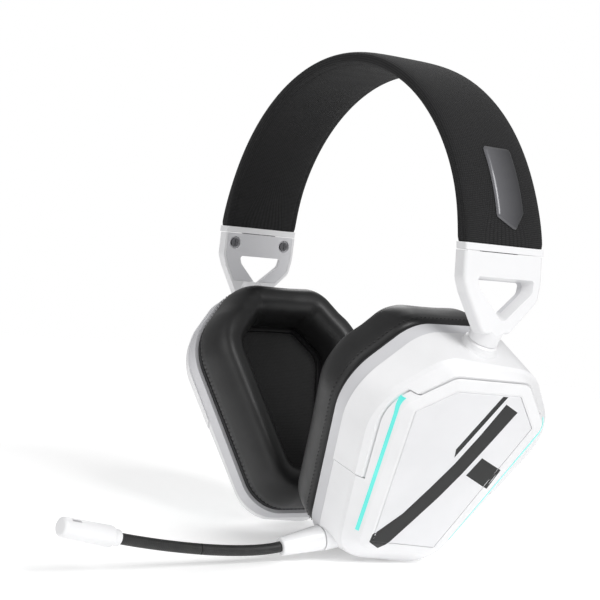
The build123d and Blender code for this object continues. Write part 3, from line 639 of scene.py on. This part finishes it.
def rounded_rings(corners, radii, insets, smallest):
    """Rings[inset, point, 2] of a clockwise polygon, each corner rounded by an arc.

    A corner moves inwards by inset * (n1 + n2) / (1 + n1.n2), n1 and n2 being its sides' inward normals.
    Its arc turns from one side's direction to the next about a centre one radius inside both sides.
    """
    corners = np.array(corners, float)
    radii = np.array(radii, float)
    insets = np.asarray(insets, float)[:, None]
    before = corners - np.roll(corners, 1, axis=0)
    before /= np.linalg.norm(before, axis=1)[:, None]
    after = np.roll(before, -1, axis=0)
    inward = np.stack((before[:, 1], -before[:, 0]), axis=1)
    inward_after = np.stack((after[:, 1], -after[:, 0]), axis=1)
    reach = insets / (1 + (inward * inward_after).sum(1))
    moved = corners + (inward + inward_after) * reach[..., None]
    radius = np.maximum(radii - insets, smallest)[..., None]
    turn = np.arccos(np.clip((before * after).sum(1), -1, 1))
    start = moved - before * radius * np.tan(turn / 2)[:, None]
    centre = start + inward * radius
    angle = turn[:, None] * np.linspace(0, 1, ARC_POINTS)
    spoke = (np.sin(angle)[..., None] * before[:, None] - np.cos(angle)[..., None] * inward[:, None])
    arcs = centre[:, :, None] + radius[:, :, None] * spoke
    share = np.linspace(0, 1, SIDE_POINTS + 2)[1:-1, None]
    nexts = np.roll(arcs[:, :, 0], -1, axis=1)
    sides = arcs[:, :, -1, None] * (1 - share) + nexts[:, :, None] * share
    return np.concatenate((arcs, sides), axis=2).reshape(len(insets), -1, 2)


CUP_CORNERS = [(-20.3, 50.9), (20.3, 50.9), (42.4, 25.1), (23.2, -52.4), (-23.2, -52.4), (-42.4, 25.1)]
CUP_RADII = [17.4, 17.4, 27.0, 17.4, 17.4, 27.0]
print("ring", rounded_rings(CUP_CORNERS, CUP_RADII, [0.0], 6.0).shape)

# %% [markdown]
# ## A cup's own frame
#
# A cup leans outwards at the top and turns forwards a little, so its pieces are easiest to describe in its
# own directions: out, back and up. The joints give those directions, and the pivot gives the place.

# %% The cup's frame
cup_out = np.array(joints["mic_bend_low"]["axis"], float)
cup_up = np.array(joints["left_swivel"]["axis"], float)
cup_back = -np.array(joints["left_tilt"]["axis"], float)
pivot = np.array(joints["left_swivel"]["pos_m"], float)
PIVOT_IN_CUP = (14.0, 2.0, 47.0)
cup_origin = pivot - MM * (PIVOT_IN_CUP[0] * cup_out + PIVOT_IN_CUP[1] * cup_back + PIVOT_IN_CUP[2] * cup_up)


def cup_place(out, back, up, side="left"):
    """World points of a cup's own coordinates in millimetres; the right cup mirrors the left one."""
    out, back, up = (MM * np.asarray(value, float)[..., None] for value in (out, back, up))
    place = cup_origin + out * cup_out + back * cup_back + up * cup_up
    return place if side == "left" else place * (-1, 1, 1)


print("left cup's middle", np.round(cup_origin, 4))

# %% [markdown]
# ## Ear cushions
#
# A cushion is a ring of slow foam in soft leather. Its section is a rounded D: flat on its plate, swelling
# at the sides and fully round on top. The outline pulls in a little along each side and the leather gathers
# in fine folds at the corners, inside the opening, where it has too much length. The surface is a D section
# whose points each follow their own inset of the cup's outline.

# %% Ear cushions
CUSHION_MIDDLE = 8.9
CUSHION_HALF = 8.5
CUSHION_DEPTH = 18.7
CUSHION_BACK = 2.3
PINCH = 1.3
PULL_IN = 0.5


def cushion_points(side):
    """Rows go round the section, columns round the cup.

    Section in turn t: inset = middle - half * sign(cos t)|cos t|^0.8, height = depth * (sin t)^0.85,
    pinched inwards near the plate; then a flat base closes it.
    """
    turn = np.linspace(0, math.pi, 60)
    cosine = np.cos(turn)
    inset = CUSHION_MIDDLE - CUSHION_HALF * np.sign(cosine) * np.abs(cosine) ** 0.8
    height = CUSHION_DEPTH * np.clip(np.sin(turn), 0, 1) ** 0.85
    pinch = PINCH * np.clip(1 - height / 4.0, 0, 1) ** 2
    inset = inset + pinch * np.sign(cosine)
    inner = np.clip((inset - CUSHION_MIDDLE) / CUSHION_HALF, 0, 1)
    seam = 0.45 * np.exp(-(((height - 3.4) / 0.45) ** 2))
    inset = inset + seam * np.sign(cosine)
    rings = rounded_rings(CUP_CORNERS, CUP_RADII, inset, 6.5)
    corner = np.concatenate((np.sin(np.linspace(0, math.pi, ARC_POINTS)), np.zeros(SIDE_POINTS)))
    side_share = np.concatenate((np.zeros(ARC_POINTS), np.linspace(0, 1, SIDE_POINTS + 2)[1:-1]))
    corner = np.tile(corner, len(CUP_CORNERS))
    pull = np.tile(np.sin(math.pi * side_share), len(CUP_CORNERS))
    centre = rings.mean(axis=1, keepdims=True)
    spoke = rings - centre
    spoke /= np.linalg.norm(spoke, axis=2, keepdims=True)
    mid = np.clip(height / CUSHION_DEPTH, 0, 1)
    outer = np.clip(-(inset - CUSHION_MIDDLE) / CUSHION_HALF, 0, 1)
    column = np.arange(rings.shape[1])
    folds = np.sin(column * 2.4 + 3 * inner[:, None]) * corner * (inner * mid)[:, None]
    slow = np.sin(column * 0.16 + 1.0) * np.sin(column * 0.05 + 0.4) * mid[:, None]
    shift = -PULL_IN * pull * (outer * mid)[:, None] + 0.16 * folds
    rings = rings + spoke * shift[..., None]
    out = -CUSHION_BACK - height[:, None] + 0.18 * folds - 0.25 * np.abs(slow) + 0 * column
    return cup_place(out, rings[..., 0], rings[..., 1], side)


def add_cushion(side):
    """A cushion on its cup."""
    leather = finishes["cushion_leather"]
    cushion = grid_piece(f"{side}_ear_cushion", cushion_points(side), leather, close_rows=True)
    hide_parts(f"{side}_cushion")
    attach(cushion, f"{side}_cup")


for side in ("left", "right"):
    add_cushion(side)

# %% [markdown]
# ## Grille cloth
#
# Behind the opening, a thin woven cloth is stretched over a frame and domes slightly towards the ear. It is
# a disc of rings that shrink to one point, with the dome as a parabola of the share from rim to middle.

# %% Grille cloth
GRILLE_INSET = 17.6
GRILLE_DOME = 1.6
GRILLE_WALL = 0.3 * MM


def grille_points(side):
    """Rings from the middle to the rim: out = -(base + dome * (1 - share^2))."""
    rim = rounded_rings(CUP_CORNERS, CUP_RADII, [GRILLE_INSET], 6.5)[0]
    share = np.linspace(0, 1, 25)[:, None]
    middle = rim.mean(axis=0)
    back = middle[0] + share * (rim[:, 0] - middle[0])
    rise = middle[1] + share * (rim[:, 1] - middle[1])
    out = -0.2 - GRILLE_DOME * (1 - share**2) + 0 * back
    return cup_place(out, back, rise, side), rim


def planar_uv(piece, first, second):
    """A UV map in millimetres along two directions."""
    mesh = piece.data
    points = np.empty(len(mesh.vertices) * 3)
    mesh.vertices.foreach_get("co", points)
    corners = np.empty(len(mesh.loops), int)
    mesh.loops.foreach_get("vertex_index", corners)
    points = points.reshape(-1, 3)[corners] * 1000
    uv = np.stack((points @ first, points @ second), axis=-1)
    mesh.uv_layers[0].data.foreach_set("uv", uv.ravel())


def add_grille(side):
    """The stretched cloth of one cup."""
    points, rim = grille_points(side)
    cloth = grid_piece(f"{side}_speaker_cloth", points, finishes["grille_cloth"], inside_out=side == "right")
    merge_poles(cloth)
    mirror = np.array((1, 1, 1) if side == "left" else (-1, 1, 1))
    planar_uv(cloth, cup_back * mirror, cup_up * mirror)
    thicken(cloth, GRILLE_WALL)
    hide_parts(f"{side}_grille_cloth")
    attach(cloth, f"{side}_cup")


for side in ("left", "right"):
    add_grille(side)

# %% [markdown]
# ## The microphone's arm
#
# The arm is a soft metal core in rubber: it keeps the curve it is bent into. Its line is one cubic curve from
# the white base to the capsule, tangent to both. The frame lets it bend at two places, so it is made as two
# lengths that meet in the middle.

# %% The microphone's arm
MIC_OUT = 7.5
ARM_RADIUS = 2.1
ARM_START = np.array((-41.5, -50.7))
ARM_END = np.array((-116.5, -41.7))
BASE_WAY = np.array((-0.978, -0.2065))
CAPSULE_WAY = np.array((-0.9656, 0.260))
ARM_REACH = 18.0


def arm_line(share):
    """Cubic curve through four control points: the two ends and a point ahead of each along its tangent."""
    t = share[:, None]
    ahead = ARM_START + ARM_REACH * BASE_WAY
    behind = ARM_END - ARM_REACH * CAPSULE_WAY
    near = ARM_START * (1 - t) ** 3 + 3 * ahead * t * (1 - t) ** 2
    return near + 3 * behind * t**2 * (1 - t) + ARM_END * t**3


def arm_points(first, last, rows=140, columns=28):
    """A tube round the line: centre + radius * (cos a * sideways + sin a * out), with a point at each end."""
    share = np.linspace(first, last, rows)
    line = arm_line(share)
    ahead = np.gradient(line, axis=0)
    ahead /= np.linalg.norm(ahead, axis=1)[:, None]
    sideways = np.stack((-ahead[:, 1], ahead[:, 0]), axis=1)
    radius = np.full(rows, ARM_RADIUS)
    radius[[0, -1]] = 0
    angle = np.linspace(0, 2 * math.pi, columns, endpoint=False)
    across = radius[:, None] * np.cos(angle)
    plane = line[:, None] + sideways[:, None] * across[..., None]
    out = MIC_OUT + radius[:, None] * np.sin(angle)
    return cup_place(out, plane[..., 0], plane[..., 1])


def add_arm(name, first, last, nodes):
    """One length of the arm, in place of the frame pieces that it hides."""
    points = arm_points(first, last)
    points[0] = points[0].mean(axis=0)
    points[-1] = points[-1].mean(axis=0)
    arm = grid_piece(name, points, finishes["gooseneck_rubber"])
    merge_poles(arm)
    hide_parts(*nodes)
    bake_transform(arm)


lower_nodes = ["gooseneck_root", "gooseneck_middle"]
add_arm("arm_lower", -0.03, 0.5, lower_nodes)
add_arm("arm_upper", 0.5, 1.03, ["gooseneck_tip"])

# %% [markdown]
# ## The badge
#
# A long five-sided plate with a bevelled rim follows the band's outside. It is made of rings: up the edge,
# over the bevel, and in to the middle, each ring laid on the band's ellipse at its own height.

# %% The badge
BADGE_HALF = 6.75
BADGE_END = 15.5
BADGE_BACK = 2.5
BADGE_LEVEL = 33.0
BADGE_CORNERS = [
    (-BADGE_HALF, BADGE_END),
    (BADGE_HALF, BADGE_END),
    (BADGE_HALF, -BADGE_END + BADGE_HALF),
    (BADGE_HALF * 0.3, -BADGE_END),
    (-BADGE_HALF, -BADGE_END + BADGE_HALF * 0.7),
]


def badge_points():
    """Rings at (inset, height): edge, bevel, face, then shrinking to the middle; a flat back closes it."""
    profile = np.array([(0.05, 0.05), (0.0, 0.35), (0.12, 0.5), (0.9, 0.92), (1.15, 0.98), (1.4, 1.0)])
    rings = rounded_rings(BADGE_CORNERS, [1.6] * 5, profile[:, 0], 0.5)
    share = np.linspace(1, 0, 16)[1:, None, None]
    middle = rings[-1].mean(axis=0)
    face = middle + share * (rings[-1] - middle)
    back = middle + share[::-1] * (rings[0] - middle)
    rows = np.concatenate((back, rings, face))
    height = np.concatenate((np.full(15, 0.05), profile[:, 1], np.full(15, 1.0)))[:, None]
    level = (rows[..., 1] + BADGE_LEVEL) * MM
    angle = np.arcsin(level / BAND_RISE)
    way = np.stack((np.cos(angle) / BAND_HALF_WIDTH, 0 * angle, np.sin(angle) / BAND_RISE), axis=-1)
    way /= np.linalg.norm(way, axis=-1, keepdims=True)
    x = BAND_HALF_WIDTH * np.cos(angle)
    foot = np.stack((x, (rows[..., 0] + BADGE_BACK) * MM, BAND_LEVEL + level), axis=-1)
    return foot + way * height[..., None] * MM


badge = grid_piece("badge", badge_points(), finishes["badge_grey"])
merge_poles(badge)
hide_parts("badge_plate")
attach(badge, "headband")

# %% [markdown]
# ## Printed stripes
#
# The face plates carry plain black stripes: a long bar that bends slightly, a thin one above it, and a block
# below. Each is a strip between two edges, a few hundredths of a millimetre proud, as thick ink is.

# %% Printed stripes
FACE_MIDDLE = (28.5, 0.7, 4.0)
FACE_TURN = math.tan(math.radians(11.5))
FACE_LEAN = math.tan(math.radians(3.9))
INK_WALL = 0.04 * MM
face_normal = np.array((1, -FACE_TURN, -FACE_LEAN))
face_normal /= np.linalg.norm(face_normal)
face_back = np.array((FACE_TURN, 1, 0)) / math.hypot(FACE_TURN, 1)
face_up = np.cross(face_normal, face_back)


def face_place(across, rise, level, side):
    """World points of coordinates on the face plate: across to the rear, up, and level above it."""
    across, rise = (np.asarray(value, float)[..., None] for value in (across, rise))
    place = np.array(FACE_MIDDLE) + across * face_back + rise * face_up + level * face_normal
    return cup_place(place[..., 0], place[..., 1], place[..., 2], side)


FACE_CORNERS = [(-15.3, 40.4), (15.3, 43.0), (31.1, 26.1), (18.2, -44.8), (-18.2, -44.8), (-31.1, 26.1)]
FACET = ((0.0, 3.6, 4.55, 4.95), (-1.08, 0.02, 0.02, 0.22))


def face_level(across, rise):
    """Height of the moulded face under a point: the facet slopes, then the plate stands a little proud.

    The distance from the rim is the least of the distances from the six sides.
    """
    corners = np.array(FACE_CORNERS)
    ways = np.roll(corners, -1, axis=0) - corners
    ways /= np.linalg.norm(ways, axis=1)[:, None]
    inward = np.stack((ways[:, 1], -ways[:, 0]), axis=1)
    from_corner = np.stack((across, rise), axis=-1)[..., None, :] - corners
    return np.interp((from_corner * inward).sum(-1).min(-1), *FACET)


def stripe_edge(points, rows):
    """An edge sampled evenly by its own count of points."""
    points = np.array(points, float)
    share = np.linspace(0, len(points) - 1, rows)
    index = np.arange(len(points))
    return np.stack((np.interp(share, index, points[:, 0]), np.interp(share, index, points[:, 1])), axis=-1)


def add_stripe(name, front_edge, rear_edge, side, rows=97, columns=25):
    """A printed strip between two edges, laid over the plate and its facet."""
    share = np.linspace(0, 1, columns)[:, None]
    front, rear = (stripe_edge(edge, rows)[:, None] for edge in (front_edge, rear_edge))
    plan = front * (1 - share) + rear * share
    points = face_place(plan[..., 0], plan[..., 1], face_level(plan[..., 0], plan[..., 1])[..., None], side)
    stripe = grid_piece(f"{side}_{name}", points, printed_ink, close_cols=False, inside_out=side == "right")
    thicken(stripe, INK_WALL, 1.0)
    stripe.data.shade_flat()
    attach(stripe, f"{side}_cup")


STRIPES = {
    "long_bar": (
        [(-15.2, -40.6), (-15.6, -36.6), (-8.0, -24.3), (-2.6, -10.0), (1.9, 3.0), (5.9, 18.5), (9.1, 34.0)],
        [(-9.4, -44.2), (-6.9, -40.0), (-1.7, -27.0), (3.4, -14.0), (7.6, -1.0), (11.8, 15.0), (15.8, 31.1)],
    ),
    "thin_bar": ([(-1.0, 10.0), (5.9, 37.2)], [(0.3, 6.1), (8.1, 37.4)]),
    "block": ([(9.7, -1.7), (12.2, 7.6)], [(22.6, -7.3), (23.6, 2.9)]),
}
for side in ("left", "right"):
    for name, (front_edge, rear_edge) in STRIPES.items():
        add_stripe(name, front_edge, rear_edge, side)

# %% [markdown]
# ## Stitches
#
# A cushion's cover is usually sewn to its base with a row of short stitches under the swell, all round. A
# stitch is a little spindle that lies along the outline, made once as a grid and repeated by numpy
# broadcasting. It is too small for a weave to show, so it has no UV map and takes the weave's painted gap
# shade as its colour.

# %% Stitches
STITCH_COUNT = 150
STITCH_LONG = 1.15
STITCH_ROUND = 0.17
STITCH_LEVEL = 4.9
STITCH_PROUD = 0.05
STITCH_POINTS = 6


def even_ring(inset, count):
    """Points spaced evenly along a cup's outline, and the unit direction at each."""
    ring = rounded_rings(CUP_CORNERS, CUP_RADII, [inset], 6.5)[0]
    closed = np.vstack((ring, ring[:1]))
    length = np.concatenate(([0], np.cumsum(np.linalg.norm(np.diff(closed, axis=0), axis=1))))
    at = np.linspace(0, length[-1], count, endpoint=False)
    points = np.stack([np.interp(at, length, closed[:, axis]) for axis in (0, 1)], axis=-1)
    ways = np.roll(points, -1, axis=0) - np.roll(points, 1, axis=0)
    return points, ways / np.linalg.norm(ways, axis=1)[:, None]


def stitches(side):
    """Spindle: radius * sqrt(1 - s^2) round an axis along the outline, s from -1 to 1, one for each place."""
    points, ways = even_ring(CUSHION_MIDDLE - CUSHION_HALF - STITCH_PROUD, STITCH_COUNT)
    s = np.linspace(-1, 1, STITCH_POINTS)[:, None]
    angle = np.linspace(0, 2 * math.pi, STITCH_POINTS, endpoint=False)[None, :]
    radius = STITCH_ROUND * np.sqrt(1 - s**2)
    along = (STITCH_LONG / 2 * s + 0 * angle)[None, ..., None] * ways[:, None, None]
    sideways = np.stack((-ways[:, 1], ways[:, 0]), axis=1)[:, None, None]
    plan = points[:, None, None] + along + (radius * np.cos(angle))[None, ..., None] * sideways
    out = -STITCH_LEVEL + (radius * np.sin(angle))[None] + 0 * plan[..., 0]
    return cup_place(out, plan[..., 0], plan[..., 1], side)


def many_piece(name, points, finish):
    """One mesh of many like grids: points[copy, row, column], each closed round its columns."""
    copies, rows, cols = points.shape[:3]
    quads = wind(rows - 1, cols, rows, cols)[0]
    every = quads[None] + (np.arange(copies) * rows * cols)[:, None, None]
    flat = points.reshape(-1, 3)
    faces = every.reshape(-1, 4)
    if signed_volume(flat, faces) < 0:
        faces = faces[:, ::-1]
    mesh = bpy.data.meshes.new(name)
    mesh.from_pydata(flat, [], faces)
    mesh.polygons.foreach_set("use_smooth", np.ones(len(faces), bool))
    mesh.materials.append(finish)
    piece = bpy.data.objects.new(name, mesh)
    bpy.context.scene.collection.objects.link(piece)
    print(name, copies, "copies of", rows * cols, "points")
    return piece


thread = woven_cloth("sewing_thread", (0.03, 0.03, 0.031), 0.3)
for side in ("left", "right"):
    row = many_piece(f"{side}_cushion_stitches", stitches(side), thread)
    merge_poles(row)
    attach(row, f"{side}_cup")

# %% [markdown]
# ## Floor and light
#
# A product stands in a white sweep under large soft lamps. Here the floor is a pale disc that fades into a
# white world, so no edge shows from any side, and two wide lamps and a rim light model the forms.

# %% Floor and light
low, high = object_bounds()
FLOOR_RADIUS = 1.2
FLOOR_CLEAR = 0.25     # the disc starts to fade this far from its middle
FLOOR_DROP = 0.0005
WORLD_LIGHT = 0.38     # the white world is dimmer as a light than as a backdrop


def pale_floor():
    """Matt white that turns clear towards the disc's edge, by distance from its middle."""
    material, shader, coordinates = start_finish(
        "pale_floor", (0.93, 0.93, 0.93), 0.9, Emission_Color=(1, 1, 1, 1), Emission_Strength=0.28
    )
    middle = add(material, "ShaderNodeVectorMath", operation="LENGTH")
    wire(material, coordinates.outputs["Object"], middle.inputs[0])
    faded = FLOOR_RADIUS * 0.9
    fade = add(material, "ShaderNodeMapRange", From_Min=FLOOR_CLEAR, From_Max=faded, To_Min=1.0, To_Max=0.0)
    wire(material, middle.outputs["Value"], fade.inputs["Value"])
    wire(material, fade.outputs["Result"], shader.inputs["Alpha"])
    return material


bpy.ops.mesh.primitive_circle_add(vertices=96, radius=FLOOR_RADIUS, fill_type="NGON")
floor = bpy.context.object
floor.name = "floor"
floor.location = (0, 0, low.z - FLOOR_DROP)
floor.data.materials.append(pale_floor())


def soft_lamp(name, place, target, size, power):
    """A square area lamp at a place, turned to a target."""
    lamp = bpy.data.lights.new(name, "AREA")
    lamp.size = size
    lamp.energy = power
    holder = bpy.data.objects.new(name, lamp)
    way = Vector(target) - Vector(place)
    holder.matrix_world = Matrix.Translation(place) @ way.to_track_quat("-Z", "Y").to_matrix().to_4x4()
    bpy.context.scene.collection.objects.link(holder)


target = (low + high) / 2
soft_lamp("key", (1.1, 0.15, 0.75), target, 0.6, 12.0)
soft_lamp("front", (0.3, -1.2, 0.5), target, 0.9, 4.0)
soft_lamp("rim", (-0.9, 0.5, 0.6), target, 0.6, 4.0)

world = bpy.data.worlds.new("studio")
world.use_nodes = True
bpy.context.scene.world = world
tree = world.node_tree
seen = tree.nodes.new("ShaderNodeLightPath")
strength = tree.nodes.new("ShaderNodeMapRange")
strength.inputs["To Min"].default_value = WORLD_LIGHT
strength.inputs["To Max"].default_value = 1.0
tree.links.new(seen.outputs["Is Camera Ray"], strength.inputs["Value"])
tree.links.new(strength.outputs["Result"], tree.nodes["Background"].inputs["Strength"])
tree.nodes["Background"].inputs["Color"].default_value = (1, 1, 1, 1)
bpy.context.scene.view_settings.view_transform = "Standard"
print("floor at", round(floor.location.z, 4))
